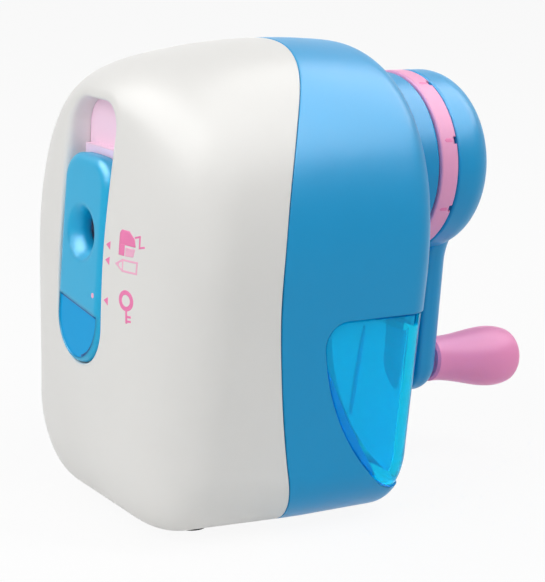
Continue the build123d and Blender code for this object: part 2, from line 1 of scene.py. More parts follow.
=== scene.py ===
"""Looks of a hand-crank pencil sharpener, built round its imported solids.

Shapes are worked out in millimetres, with depth counted from the front face of the case, and go into
Blender in metres. Every new piece rides on the body that carries it.
"""

import logging
import math
from collections.abc import Callable
from dataclasses import dataclass
from enum import Enum

import bmesh
import bpy
import numpy as np
from mathutils import Matrix, Vector


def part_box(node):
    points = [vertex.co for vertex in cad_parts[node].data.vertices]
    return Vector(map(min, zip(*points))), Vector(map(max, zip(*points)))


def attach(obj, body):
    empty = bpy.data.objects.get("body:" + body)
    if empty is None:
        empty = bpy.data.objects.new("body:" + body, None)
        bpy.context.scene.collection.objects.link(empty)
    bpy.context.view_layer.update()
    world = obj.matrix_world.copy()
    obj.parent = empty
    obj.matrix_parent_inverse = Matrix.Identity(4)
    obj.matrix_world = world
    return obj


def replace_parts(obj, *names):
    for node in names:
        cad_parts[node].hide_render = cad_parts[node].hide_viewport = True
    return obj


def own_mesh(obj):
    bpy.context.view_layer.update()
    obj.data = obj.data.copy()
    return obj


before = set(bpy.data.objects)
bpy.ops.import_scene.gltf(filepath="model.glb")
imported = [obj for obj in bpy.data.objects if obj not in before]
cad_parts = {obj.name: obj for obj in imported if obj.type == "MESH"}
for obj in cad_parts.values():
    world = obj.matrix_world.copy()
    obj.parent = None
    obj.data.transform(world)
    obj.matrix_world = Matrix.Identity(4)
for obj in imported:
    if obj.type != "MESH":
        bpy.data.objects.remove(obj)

LOG = logging.getLogger("sharpener")
MM = 0.001
FEET_START = 18.0
FRONT_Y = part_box("rubber_feet")[0].y - FEET_START * MM
IMAGE_SIZE = (545, 582)
PRINT_LIFT = 0.03
PRINT_SINK = 0.05
PRINT_ROWS = 5
ROUND_SIDES = 48
HALVINGS = 34
MERGE = 1e-7
SLIVER = 1e-8

Array = np.ndarray
Colour = tuple[float, float, float]
Span = tuple[float, float]
Curve = Callable[[Array], Array]
Placer = Callable[[Array, float], Array]


def linear(colour: Colour) -> tuple[float, float, float, float]:
    """Turn a display colour, 0 to 255 a channel, into the linear colour a shader takes.

    Args:
        colour: red, green and blue as they look on a screen.

    Returns:
        Linear red, green, blue and a full alpha.
    """
    share = np.array(colour) / 255
    low = share / 12.92
    high = ((share + 0.055) / 1.055) ** 2.4
    return (*np.where(share <= 0.04045, low, high).tolist(), 1.0)


class Graph:
    """A node tree with short calls for adding nodes and linking them."""

    def __init__(self, tree: bpy.types.NodeTree) -> None:
        """Hold the tree that the nodes go into."""
        self.tree = tree

    def add(self, kind: str, **inputs: object) -> bpy.types.Node:
        """Add a node and fill its inputs.

        Args:
            kind: the node type, without the leading "ShaderNode".
            inputs: values or sockets by input name, with _ for a space; a leading "set_" names a property.

        Returns:
            The new node.
        """
        node = self.tree.nodes.new("ShaderNode" + kind)
        for name, value in inputs.items():
            if name.startswith("set_"):
                setattr(node, name[4:], value)
        for name, value in inputs.items():
            if not name.startswith("set_"):
                self.put(node, name, value)
        return node

    def put(self, node: bpy.types.Node, name: str, value: object) -> None:
        """Give one input a value, or link a socket to it.

        Args:
            node: the node that has the input.
            name: the input's name with _ for a space, or its place as at0, at1 and so on.
            value: a plain value, or a socket to link.
        """
        plain = name.replace("_", " ")
        place = int(name[2:]) if name.startswith("at") and name[2:].isdigit() else plain
        socket = node.inputs[place]
        if isinstance(value, bpy.types.NodeSocket):
            self.tree.links.new(value, socket)
        else:
            socket.default_value = value

    def blend(self, value: bpy.types.NodeSocket, factor: object, added: object) -> bpy.types.NodeSocket:
        """A value times a factor plus a term, where each may be a number or a socket."""
        return self.add("Math", set_operation="MULTIPLY_ADD", at0=value, at1=factor, at2=added).outputs[0]


class Groups:
    """Surface effects that several materials share, each one node group built once."""

    RESULTS = {"Colour": "Color", "Roughness": "Float", "Height": "Float"}
    CLOUD_SCALE = 45.0
    PATCH_SCALE = 160.0
    STREAK_SCALE = (300.0, 6000.0, 300.0)
    METAL_DRIFT = 0.2

    @staticmethod
    def start(name: str, inputs: dict[str, str]) -> tuple[Graph, dict, dict]:
        """Make an empty group with named sockets.

        Args:
            name: the group's name.
            inputs: input names with "Float" or "Color".

        Returns:
            The group's graph, its input sockets and its output sockets, by name.
        """
        tree = bpy.data.node_groups.new(name, "ShaderNodeTree")
        for label, kind in inputs.items():
            tree.interface.new_socket(label, in_out="INPUT", socket_type="NodeSocket" + kind)
        for label, kind in Groups.RESULTS.items():
            tree.interface.new_socket(label, in_out="OUTPUT", socket_type="NodeSocket" + kind)
        source = tree.nodes.new("NodeGroupInput")
        target = tree.nodes.new("NodeGroupOutput")
        return Graph(tree), dict(source.outputs.items()), dict(target.inputs.items())

    @classmethod
    def moulded_skin(cls) -> bpy.types.NodeTree:
        """Moulded plastic: a faint drift of the colour, uneven gloss, and a fine orange-peel relief."""
        labels = ("Drift", "Gloss", "Spread", "Grain")
        graph, given, out = cls.start("moulded_skin", {"Colour": "Color", **dict.fromkeys(labels, "Float")})
        place = graph.add("TexCoord").outputs["Object"]
        cloud = graph.add("TexNoise", Vector=place, Scale=cls.CLOUD_SCALE, Detail=3.0).outputs["Fac"]
        swing = graph.blend(cloud, 2.0, -1.0)
        shift = graph.blend(swing, given["Drift"], 1.0)
        tinted = graph.add("HueSaturation", Color=given["Colour"], Value=shift)
        patch = graph.add("TexNoise", Vector=place, Scale=cls.PATCH_SCALE, Detail=4.0, Roughness=0.6)
        uneven = graph.blend(patch.outputs["Fac"], 1.0, -0.5)
        peel = graph.add("TexNoise", Vector=place, Scale=given["Grain"], Detail=2.0).outputs["Fac"]
        graph.tree.links.new(tinted.outputs[0], out["Colour"])
        graph.tree.links.new(graph.blend(uneven, given["Spread"], given["Gloss"]), out["Roughness"])
        graph.tree.links.new(peel, out["Height"])
        return graph.tree

    @classmethod
    def turned_metal(cls) -> bpy.types.NodeTree:
        """Machined metal: fine streaks across the depth, in gloss and relief, with a slight colour drift."""
        labels = ("Gloss", "Spread")
        graph, given, out = cls.start("turned_metal", {"Colour": "Color", **dict.fromkeys(labels, "Float")})
        place = graph.add("TexCoord").outputs["Object"]
        squeezed = graph.add("Mapping", Vector=place, Scale=cls.STREAK_SCALE).outputs[0]
        streak = graph.add("TexNoise", Vector=squeezed, Scale=1.0, Detail=3.0).outputs["Fac"]
        uneven = graph.blend(streak, 1.0, -0.5)
        shift = graph.blend(uneven, cls.METAL_DRIFT, 1.0)
        tinted = graph.add("HueSaturation", Color=given["Colour"], Value=shift)
        graph.tree.links.new(tinted.outputs[0], out["Colour"])
        graph.tree.links.new(graph.blend(uneven, given["Spread"], given["Gloss"]), out["Roughness"])
        graph.tree.links.new(streak, out["Height"])
        return graph.tree


class Skin(Enum):
    """Which shared effect a finish is made with."""

    MOULDED = "moulded_skin"
    METAL = "turned_metal"

    def tree(self) -> bpy.types.NodeTree:
        """The node group of this skin, built the first time that it is asked for."""
        return bpy.data.node_groups.get(self.value) or getattr(Groups, self.value)()


def skinned(name: str, skin: Skin, values: dict[str, object], relief: float) -> tuple[Graph, bpy.types.Node]:
    """Start a material whose colour, roughness and relief come from a shared skin.

    Args:
        name: the material's name.
        skin: the shared effect.
        values: the effect's inputs by name.
        relief: height of the relief in millimetres.

    Returns:
        The material's graph and its relief node.
    """
    material = bpy.data.materials.new(name)
    material.use_nodes = True
    graph = Graph(material.node_tree)
    shader = graph.tree.nodes["Principled BSDF"]
    effect = graph.add("Group", set_node_tree=skin.tree())
    for label, value in values.items():
        effect.inputs[label].default_value = value
    bump = graph.add("Bump", Strength=1.0, Distance=relief * MM, Height=effect.outputs["Height"])
    graph.put(shader, "Base Color", effect.outputs["Colour"])
    graph.put(shader, "Roughness", effect.outputs["Roughness"])
    graph.put(shader, "Normal", bump.outputs[0])
    return graph, bump


@dataclass(frozen=True)
class Finish:
    """One solid finish: its colour, gloss and the relief of its skin."""

    name: str
    colour: Colour
    gloss: float = 0.3
    spread: float = 0.1
    drift: float = 0.02
    grain: float = 900.0
    relief: float = 0.003
    metallic: float = 0.0
    specular: float = 0.25
    soft_edge: float = 0.0
    edge_samples: int = 6
    skin: Skin = Skin.MOULDED

    def make(self) -> bpy.types.Material:
        """Build the material, or give the one that is there.

        Returns:
            The material, with its shared skin feeding colour, roughness and relief.
        """
        if self.name in bpy.data.materials:
            return bpy.data.materials[self.name]
        values = {"Colour": linear(self.colour), "Gloss": self.gloss, "Spread": self.spread}
        if self.skin is Skin.MOULDED:
            values |= {"Drift": self.drift, "Grain": self.grain}
        graph, bump = skinned(self.name, self.skin, values, self.relief)
        if self.soft_edge:
            edge = graph.add("Bevel", set_samples=self.edge_samples, Radius=self.soft_edge * MM)
            graph.put(bump, "Normal", edge.outputs[0])
        shader = graph.tree.nodes["Principled BSDF"]
        shader.inputs["Metallic"].default_value = self.metallic
        shader.inputs["Specular IOR Level"].default_value = self.specular
        return bpy.data.materials[self.name]


@dataclass(frozen=True)
class ClearFinish:
    """Clear tinted plastic with a slightly wavy, coated surface."""

    name: str
    colour: Colour
    gloss: float = 0.04
    spread: float = 0.04
    drift: float = 0.03
    grain: float = 120.0
    relief: float = 0.01
    index: float = 1.06
    coat: float = 0.2
    coat_gloss: float = 0.05
    clearness: float = 0.74

    def make(self) -> bpy.types.Material:
        """Build the clear material, or give the one that is there.

        Returns:
            The material, mostly transmissive.
        """
        if self.name in bpy.data.materials:
            return bpy.data.materials[self.name]
        values = {"Colour": linear(self.colour), "Gloss": self.gloss, "Spread": self.spread,
                  "Drift": self.drift, "Grain": self.grain}
        graph, _ = skinned(self.name, Skin.MOULDED, values, self.relief)
        shader = graph.tree.nodes["Principled BSDF"]
        shader.inputs["Transmission Weight"].default_value = self.clearness
        shader.inputs["IOR"].default_value = self.index
        shader.inputs["Coat Weight"].default_value = self.coat
        shader.inputs["Coat Roughness"].default_value = self.coat_gloss
        return bpy.data.materials[self.name]


WHITE = Finish("white_shell", (232, 231, 228), gloss=0.36, specular=0.11)
BLUE = Finish("blue_shell", (0, 151, 208), gloss=0.34, soft_edge=0.45, specular=0.3)
SKY = Finish("gate_blue", (0, 174, 222), gloss=0.34, soft_edge=1.6, specular=0.45)
INLAY = Finish("inlay_gloss", (0, 164, 228), spread=0.05, drift=0.01, relief=0.001, specular=0.08)
DEEP = Finish("deep_azure", (0, 100, 172), drift=0.03)
CLEAR = ClearFinish("clear_azure", (0, 210, 244))
TONGUE_PINK = Finish("tongue_pink", (252, 218, 238), gloss=0.4, soft_edge=0.3)
RING_PINK = Finish("ring_pink", (248, 170, 210), gloss=0.38, soft_edge=0.3, specular=0.16)
KNOB_PINK = Finish("grip_pink", (255, 158, 206), gloss=0.36, drift=0.025, specular=0.14)
PRINT_PINK = Finish("print_pink", (242, 130, 182), 0.5, 0.2, drift=0.06, grain=5000.0, relief=0.002)
PRINT_PALE = Finish("print_pale", (245, 182, 210), 0.5, 0.2, drift=0.06, grain=5000.0, relief=0.002)
RUBBER = Finish("dark_rubber", (52, 52, 55), 0.8, 0.2, drift=0.08, grain=2600.0, relief=0.03)
GREY = Finish("grey_moulding", (140, 144, 150), gloss=0.55, drift=0.04, grain=2200.0, relief=0.01)
TAN = Finish("tan_bearing", (206, 190, 160), gloss=0.45, drift=0.04)
STEEL = Finish("bright_steel", (200, 202, 206), 0.3, 0.25, relief=0.005, metallic=1.0, skin=Skin.METAL)


def to_metres(points: Array) -> Array:
    """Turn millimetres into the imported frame's metres.

    Args:
        points: points with x, depth from the front face and z on the last axis.

    Returns:
        The same points in the frame.
    """
    moved = points * MM
    moved[..., 1] += FRONT_Y
    return moved


def grid_faces(rows: int, columns: int, close_rows: bool, close_columns: bool) -> Array:
    """Corner numbers of the four-sided faces of a grid.

    Args:
        rows: points along the first direction.
        columns: points along the second direction.
        close_rows: joins the last row to the first.
        close_columns: joins the last column to the first.

    Returns:
        One row of four corner numbers for each face.
    """
    row = np.arange(rows if close_rows else rows - 1)[:, None]
    column = np.arange(columns if close_columns else columns - 1)[None, :]
    next_row = (row + 1) % rows
    next_column = (column + 1) % columns
    corners = (row * columns + column, row * columns + next_column,
               next_row * columns + next_column, next_row * columns + column)
    return np.stack([np.broadcast_to(c, (row.size, column.size)) for c in corners], -1).reshape(-1, 4)


def new_piece(name: str, points: Array, faces: Array, finish: Finish, body: str) -> bpy.types.Object:
    """Put points and faces into a mesh, close its poles, turn its faces outward and hang it on a body.

    Args:
        name: the piece's name.
        points: corner places in millimetres, depth from the front face.
        faces: corner numbers, one row a face.
        finish: what the piece is made of.
        body: the body that the piece moves with.

    Returns:
        The new object, smooth-shaded.
    """
    mesh = bpy.data.meshes.new(name)
    mesh.from_pydata(to_metres(points.reshape(-1, 3).astype(float)).tolist(), [], faces.tolist())
    work = bmesh.new()
    work.from_mesh(mesh)
    bmesh.ops.remove_doubles(work, verts=work.verts, dist=MERGE)
    bmesh.ops.dissolve_degenerate(work, edges=work.edges, dist=SLIVER)
    bmesh.ops.recalc_face_normals(work, faces=work.faces)
    work.to_mesh(mesh)
    work.free()
    mesh.shade_smooth()
    mesh.materials.append(finish.make())
    piece = bpy.data.objects.new(name, mesh)
    bpy.context.scene.collection.objects.link(piece)
    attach(piece, body)
    LOG.info("piece %s: %d faces on %s", name, len(mesh.polygons), body)
    return piece


def ramp(value: Array, span: Span) -> Array:
    """Share of the way through a span, held at 0 before it and at 1 after it."""
    return np.clip((value - span[0]) / (span[1] - span[0]), 0, 1)


def quarter(start: Array, corner: Array, end: Array, share: Array) -> Array:
    """A curve from a start to an end that leaves and arrives along the lines through a corner."""
    return start * (1 - share) ** 2 + 2 * corner * share * (1 - share) + end * share ** 2


def solve(rising: Curve, low: Array, high: Array) -> Array:
    """Where a rising function crosses zero, by halving the span again and again over whole arrays.

    Args:
        rising: gives values that rise with its argument.
        low: start of each span.
        high: end of each span.

    Returns:
        The crossing in each span.
    """
    for _ in range(HALVINGS):
        middle = (low + high) / 2
        below = rising(middle) < 0
        low = np.where(below, middle, low)
        high = np.where(below, high, middle)
    return (low + high) / 2


def dress(nodes: tuple[str, ...], finish: Finish | ClearFinish) -> None:
    """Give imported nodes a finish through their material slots.

    Args:
        nodes: the nodes' names.
        finish: what they are made of.
    """
    for name in nodes:
        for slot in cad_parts[name].material_slots:
            slot.material = finish.make()
        LOG.info("dressed %s in %s", name, finish.name)


def bezier(points: list[tuple[Array, Array]], share: Array) -> tuple[Array, Array]:
    """A Bezier curve over whole arrays.

    Args:
        points: three or four control points, each an (x, z) pair of arrays.
        share: how far along, 0 to 1.

    Returns:
        Arrays of x and z.
    """
    last = len(points) - 1
    weights = [math.comb(last, k) * share ** k * (1 - share) ** (last - k) for k in range(last + 1)]
    x = sum(weight * point[0] for weight, point in zip(weights, points))
    z = sum(weight * point[1] for weight, point in zip(weights, points))
    return x, z


@dataclass(frozen=True)
class EndRound:
    """How one end of the case rounds off: depth of the rounding and what it takes off each side."""

    depth: float
    side: float
    top: float
    bottom: float
    power: float


@dataclass(frozen=True)
class CaseForm:
    """The outer form of the case: an arched section that bulges along its depth and rounds off in front."""

    foot: float = 1.5
    half_front: float = 35.9
    half_rear: float = 36.6
    flare: float = 0.05
    length: float = 71.6
    top_front: float = 102.7
    top_mid: float = 110.0
    top_rear: float = 109.0
    shoulder: float = 59.0
    corner: float = 18.0
    corner_rear: float = 14.6
    corner_ramp: Span = (18.0, 43.0)
    corner_pull: float = 0.45
    corner_power: float = 0.6
    crown_rise: float = 0.66
    crown_reach: float = 0.65
    wall: float = 2.4
    front: EndRound = EndRound(17.9, 27.0, 6.0, 28.0, 2.33)
    lean: float = math.radians(1.6)
    lean_height: float = 60.0
    lean_reach: float = 30.0
    swell: float = 0.85
    swell_height: float = 62.0
    swell_half: float = 34.0
    swell_reach: float = 12.0
    far: float = 60.0
    seam: tuple = ((40.2, -4), (34.6, 18), (31.1, 37.5), (28.9, 65), (31.4, 84), (36.0, 96),
                   (43.8, 107.3), (52, 116))
    seam_steps: int = 600
    breaks: tuple = (0.14, 0.29, 0.57)

    def outline(self, share: Array, half: Array, top: Array, bottom: Array,
                corner: Array) -> tuple[Array, Array]:
        """Right half of a section: level floor, round corner, leaning side, arched crown.

        Args:
            share: 0 at the middle of the floor to 1 at the middle of the crown.
            half: half width of the section.
            top: height of the crown.
            bottom: height of the floor.
            corner: size of the lower corner.

        Returns:
            Arrays of x and z.
        """
        low = half * (1 - self.flare)
        high = half * (1 + self.flare)
        lean = (high - low) / (self.shoulder - bottom - corner)
        rise = self.crown_rise * (top - self.shoulder)
        pull = corner * self.corner_pull
        one, two, three = self.breaks
        floor, turn = ramp(share, (0, one)), ramp(share, (one, two))
        side, arch = ramp(share, (two, three)), ramp(share, (three, 1))
        foot = bottom + corner
        corner_x, corner_z = bezier(
            [(low - corner, bottom), (low - pull, bottom), (low, bottom + pull), (low, foot)], turn)
        crown_x, crown_z = bezier(
            [(high, self.shoulder), (high + lean * rise, self.shoulder + rise),
             (self.crown_reach * high, top), (0 * high, top)], arch)
        stretch = [share < one, share < two, share < three]
        x = np.select(stretch, [(low - corner) * floor, corner_x, low + (high - low) * side], crown_x)
        z = np.select(stretch, [bottom + 0 * floor, corner_z, foot + (self.shoulder - foot) * side], crown_z)
        return x, z

    def side(self, depth: Array, height: Array, inset: float) -> Array:
        """How far out the side of the case stands, behind the rounding of its front.

        Args:
            depth: distance from the front face.
            height: height over the ground.
            inset: wall thickness to step inward.

        Returns:
            The distance to the right at each point.
        """
        def over(share: Array) -> Array:
            """How far the section's point lies above the height."""
            return self.section(depth, 0.0, share, inset)[..., 2] - height

        share = solve(over, 0 * height + self.breaks[0], 0 * height + 1)
        return self.section(depth, 0.0, share, inset)[..., 0]

    def leaned(self, depth: Array, y: Array, z: Array) -> tuple[Array, Array]:
        """Turn a section's points back about a level line, and swell the front forward round its middle.

        The lean fades out evenly over the depth. The swell is a smooth hump over the height and fades sooner.

        Args:
            depth: distance of the section from the front face.
            y: the points' depth.
            z: the points' height.

        Returns:
            The moved depth and height.
        """
        turn = self.lean * np.clip(1 - depth / self.lean_reach, 0, 1)
        rise = z - self.lean_height
        hump = np.clip(1 - ((z - self.swell_height) / self.swell_half) ** 2, 0, 1) ** 2
        ahead = self.swell * hump * np.clip(1 - depth / self.swell_reach, 0, 1) ** 2
        return y + rise * np.sin(turn) - ahead, self.lean_height + rise * np.cos(turn)

    def section(self, depth: Array, taken: Array, around: Array, inset: float) -> Array:
        """Points of the section at a depth.

        Args:
            depth: distance from the front face.
            taken: share of the end rounding that is still taken off there, 1 at the front face.
            around: 0 at the floor, 1 at the crown, back to the floor at 2.
            inset: wall thickness to step inward.

        Returns:
            Points with x, depth and z on the last axis.
        """
        part = depth / self.length
        full = self.half_front + (self.half_rear - self.half_front) * part
        half = full - self.front.side * taken
        bulge = (self.top_mid - (self.top_front + self.top_rear) / 2) * 4 * part * (1 - part)
        top = self.top_front + (self.top_rear - self.top_front) * part + bulge - self.front.top * taken
        bottom = self.foot + self.front.bottom * taken
        corner = self.corner + (self.corner_rear - self.corner) * ramp(depth, self.corner_ramp)
        corner = corner * (half / full) ** self.corner_power
        share = np.where(around <= 1, around, 2 - around)
        x, z = self.outline(share, half - inset, top - inset, bottom + inset, corner - inset)
        y = inset + depth * (self.length - 2 * inset) / self.length
        y, z = self.leaned(depth, y, z)
        return np.stack(np.broadcast_arrays(np.where(around <= 1, x, -x), y, z), -1)

    def along(self, path: Array, around: Array, middle: float, inset: float) -> Array:
        """A point of the surface on its way from the middle of the front face to the rear.

        The path runs 0 to 1 straight across the flat front, 1 to 2 round the front edge as a superellipse
        (depth and take-off are powers of the cosine and sine of one angle), and 2 to 3 down the sides.

        Args:
            path: how far along.
            around: place around the section, 0 to 2.
            middle: height of the middle of the front face.
            inset: wall thickness to step inward.

        Returns:
            Points with x, depth and z on the last axis.
        """
        power = 2 / self.front.power
        angle = np.clip(path - 1, 0, 1) * math.pi / 2
        depth = self.front.depth * (1 - np.abs(np.cos(angle)) ** power)
        depth = depth + np.clip(path - 2, 0, 1) * (self.far - self.front.depth)
        taken = 1 - np.sin(angle) ** power
        point = self.section(depth, taken, around, inset)
        flat = np.clip(path, 0, 1)[..., None]
        centre = np.array([0.0, *self.leaned(np.array(0.0), inset, middle)])
        return centre + (point - centre) * flat

    def seam_depth(self, height: Array) -> Array:
        """Depth of the seam: a smooth cubic curve through the seam's points, by chord length.

        Args:
            height: height over the ground.

        Returns:
            The seam's depth at each height.
        """
        knots = np.array(self.seam, float)
        chord = np.concatenate([[0], np.cumsum(np.hypot(*np.diff(knots, axis=0).T))])
        slope = np.gradient(knots, chord, axis=0)
        fine = np.linspace(0, chord[-1], self.seam_steps)
        index = np.clip(np.searchsorted(chord, fine) - 1, 0, len(chord) - 2)
        step = (chord[index + 1] - chord[index])[:, None]
        share = (fine - chord[index])[:, None] / step
        leaving = knots[index] * (1 + 2 * share) + step * slope[index] * share
        coming = knots[index + 1] * (3 - 2 * share) - step * slope[index + 1] * (1 - share)
        curve = leaving * (1 - share) ** 2 + coming * share ** 2
        return np.interp(height, curve[:, 1], curve[:, 0])


@dataclass(frozen=True)
class FrontCase:
    """White front casing with a soft-rimmed slot and its sleeve."""

    form: CaseForm = CaseForm()
    slot_width: float = 21.0
    slot_bottom: float = 38.2
    slot_top: float = 97.8
    slot_corner: float = 6.8
    sleeve: float = 3.5
    sleeve_end: float = 7.0
    draft: float = 0.0105
    rim: float = 0.6
    rim_top: float = 2.4
    rim_rise: Span = (62.0, 94.0)
    seam_edge: float = 0.5
    slot_search: Span = (0.02, 2.0)
    seam_search: Span = (1.3, 3.0)
    columns: int = 360
    rows: int = 90
    edge_rows: int = 7
    wall_rows: int = 4
    lining_rows: int = 30

    def slot_gap(self, point: Array) -> Array:
        """Distance outside the slot in front view: round below, straight, two corners above.

        Args:
            point: points with x, depth and z on the last axis.

        Returns:
            The distance of each point, negative inside.
        """
        half = self.slot_width / 2
        low = self.slot_bottom + half
        high = self.slot_top - self.slot_corner
        x, z = np.abs(point[..., 0]), point[..., 2]
        corner = np.hypot(np.maximum(x - half + self.slot_corner, 0), z - high) - self.slot_corner
        return np.select([z < low, z < high], [np.hypot(x, z - low) - half, x - half], corner)

    def rim_at(self, height: Array) -> Array:
        """Size of the slot's rounded rim, which grows smoothly from its foot to its top."""
        rise = ramp(height, self.rim_rise)
        return self.rim + (self.rim_top - self.rim) * rise * rise * (3 - 2 * rise)

    def rim_drop(self, x: Array, z: Array) -> Array:
        """How far the rounded rim falls behind the plain surface.

        Args:
            x: distance to the right.
            z: height.

        Returns:
            The drop at each point of the front view.
        """
        rim = self.rim_at(z)
        gap = self.slot_gap(np.stack([x, 0 * x, z], -1))
        return rim * (1 - np.sqrt(np.clip(gap / rim, 0, 1))) ** 2

    def build(self) -> bpy.types.Object:
        """Make the casing as one closed tube of rings, each ring running round the slot.

        Each column starts at the sleeve's end, comes forward along the slot's wall, turns over the rim on a
        quarter curve, follows the outer surface to the seam, steps inward by the wall and returns inside.

        Returns:
            The casing.
        """
        form = self.form
        middle = (self.slot_bottom + self.slot_top) / 2
        around = np.linspace(0, 2, self.columns, endpoint=False)

        def outer(path: Array) -> Array:
            """Points of the outer surface."""
            return form.along(path, around, middle, 0.0)

        def inner(path: Array) -> Array:
            """Points of the inner surface."""
            return form.along(path, around, middle, form.wall)

        def slot_at(surface: Curve, grow: float | Array) -> Array:
            """Where a surface meets the slot's outline, grown by some distance.

            Args:
                surface: gives points for places along the path.
                grow: how far outside the outline.

            Returns:
                The place along the path, one a column.
            """
            def outside(path: Array) -> Array:
                """Distance outside the grown outline."""
                return self.slot_gap(surface(path)) - grow

            low, high = self.slot_search
            return solve(outside, 0 * around + low, 0 * around + high)

        def seam_at(surface: Curve, back: float) -> Array:
            """Where a surface comes within some distance of the seam.

            Args:
                surface: gives points for places along the path.
                back: how far in front of the seam.

            Returns:
                The place along the path, one a column.
            """
            def past(path: Array) -> Array:
                """Depth beyond that place."""
                point = surface(path)
                return point[:, 1] + back - form.seam_depth(point[:, 2])

            low, high = self.seam_search
            return solve(past, 0 * around + low, 0 * around + high)

        across = np.array([1, 0, 1])
        skin_end = seam_at(outer, self.seam_edge)
        lip = outer(slot_at(outer, 0.0))
        rim = self.rim_at(lip[:, 2])
        skin_start = slot_at(outer, rim)
        turn = np.linspace(0, 1, self.edge_rows)[:, None, None]
        wall_top = lip + rim[:, None] * np.array([0, 1, 0])
        over_rim = quarter(wall_top, lip, outer(skin_start), turn)
        centre = np.array([0, self.sleeve_end, middle])
        sleeve_back = centre + (lip - centre) * across * (1 - self.draft)
        down = np.linspace(0, 1, self.wall_rows, endpoint=False)[:, None, None]
        slot_wall = sleeve_back + (wall_top - sleeve_back) * down
        step = np.linspace(0, 1, self.rows)[1:-1, None]
        skin = np.stack([outer(path) for path in skin_start + (skin_end - skin_start) * step])
        seam_line = outer(seam_at(outer, 0.0))
        inner_stop = seam_at(inner, 0.0)
        toward = inner(inner_stop) - seam_line
        down_edge = seam_line + toward * (self.seam_edge / np.linalg.norm(toward, axis=-1, keepdims=True))
        over_edge = quarter(outer(skin_end), seam_line, down_edge, turn)
        inner_start = slot_at(inner, self.sleeve)
        back = np.linspace(0, 1, self.lining_rows)[:, None]
        lining = np.stack([inner(path) for path in inner_stop + (inner_start - inner_stop) * back])
        sleeve_side = lining[-1] * across + np.array([0, self.sleeve_end, 0])
        rings = np.concatenate([slot_wall, over_rim, skin, over_edge, lining, sleeve_side[None]])
        faces = grid_faces(len(rings), self.columns, True, True)
        piece = new_piece("front_casing", rings, faces, WHITE, "housing")
        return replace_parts(piece, "front_shell")

    def face_depth(self, x: Array, z: Array) -> Array:
        """Depth of the outer surface behind points of the front view.

        The section's half width at a height grows with the depth, so the depth is found by halving.

        Args:
            x: distance to the right.
            z: height.

        Returns:
            The depth of the surface at each point.
        """
        form = self.form
        power = form.front.power

        def point(depth: Array, share: Array) -> Array:
            """A point of the rounded front at a depth."""
            taken = 1 - (1 - (1 - depth / form.front.depth) ** power) ** (1 / power)
            return form.section(depth, taken, share, 0.0)

        def share_at(depth: Array) -> Array:
            """Place on the section at the wanted height."""
            return solve(lambda share: point(depth, share)[..., 2] - z, 0 * z + form.breaks[0], 0 * z + 1)

        def wider(depth: Array) -> Array:
            """How far the section reaches beyond the wanted distance."""
            return point(depth, share_at(depth))[..., 0] - np.abs(x)

        depth = solve(wider, 0 * x, 0 * x + form.front.depth)
        return point(depth, share_at(depth))[..., 1]

    def dress(self) -> None:
        """Finish the rear shell, what stands fixed on it, and the panel behind the slot."""
        dress(("rear_shell", "rear_collar", "tray_cradle"), BLUE)
        dress(("guide_plate",), TONGUE_PINK)
        dress(("guide_screws",), STEEL)


def patch_grid(corners: list) -> Array:
    """Grid over a convex outline: rows grow from its middle to the outline, columns run round it.

    Args:
        corners: the outline's corners as pairs.

    Returns:
        Pairs, with rows and columns on the first two axes.
    """
    loop = np.array([*corners, corners[0]], float)
    length = np.concatenate([[0], np.cumsum(np.hypot(*np.diff(loop, axis=0).T))])
    at = np.linspace(0, length[-1], ROUND_SIDES, endpoint=False)
    edge = np.stack([np.interp(at, length, loop[:, k]) for k in (0, 1)], -1)
    middle = edge.mean(0)
    return middle + (edge - middle) * np.linspace(0, 1, PRINT_ROWS)[:, None, None]


def stroke_grid(start: tuple, end: tuple, width: float) -> Array:
    """Grid over a straight pen stroke.

    Args:
        start: the first point.
        end: the last point.
        width: the pen's width, which also lengthens the ends by half.

    Returns:
        Pairs, with rows and columns on the first two axes.
    """
    first, last = np.array(start, float), np.array(end, float)
    along = (last - first) / np.hypot(*(last - first))
    side = np.array([-along[1], along[0]]) * width / 2
    first, last = first - along * width / 2, last + along * width / 2
    return patch_grid([first + side, first - side, last - side, last + side])


def disc_grid(middle: tuple, radius: float, bore: float = 0.0) -> Array:
    """Grid over a disc, or over a ring when there is a bore.

    Args:
        middle: the disc's middle.
        radius: its radius.
        bore: radius of the hole.

    Returns:
        Pairs, with rows and columns on the first two axes.
    """
    turn = np.linspace(0, 2 * math.pi, ROUND_SIDES, endpoint=False)
    spoke = np.stack([np.sin(turn), np.cos(turn)], -1)
    return np.array(middle) + spoke * np.linspace(bore, radius, PRINT_ROWS)[:, None, None]


def print_piece(name: str, grids: list[Array], place: Placer, finish: Finish, body: str) -> None:
    """Lay flat shapes on a surface as thin closed skins.

    Every grid gets a top just above the surface and a bottom just below it, joined round the edge.

    Args:
        name: the piece's name.
        grids: the shapes, as pairs on a flat sheet.
        place: gives points in millimetres for pairs and a height above the surface.
        finish: what they are printed with.
        body: the body that they move with.
    """
    points, faces, count = [], [], 0
    for grid in grids:
        rings = np.concatenate([place(grid, PRINT_LIFT), place(grid[::-1], -PRINT_SINK)])
        rows, columns = rings.shape[:2]
        points.append(rings.reshape(-1, 3))
        faces.append(grid_faces(rows, columns, True, True) + count)
        count += rows * columns
    new_piece(name, np.concatenate(points), np.concatenate(faces), finish, body)


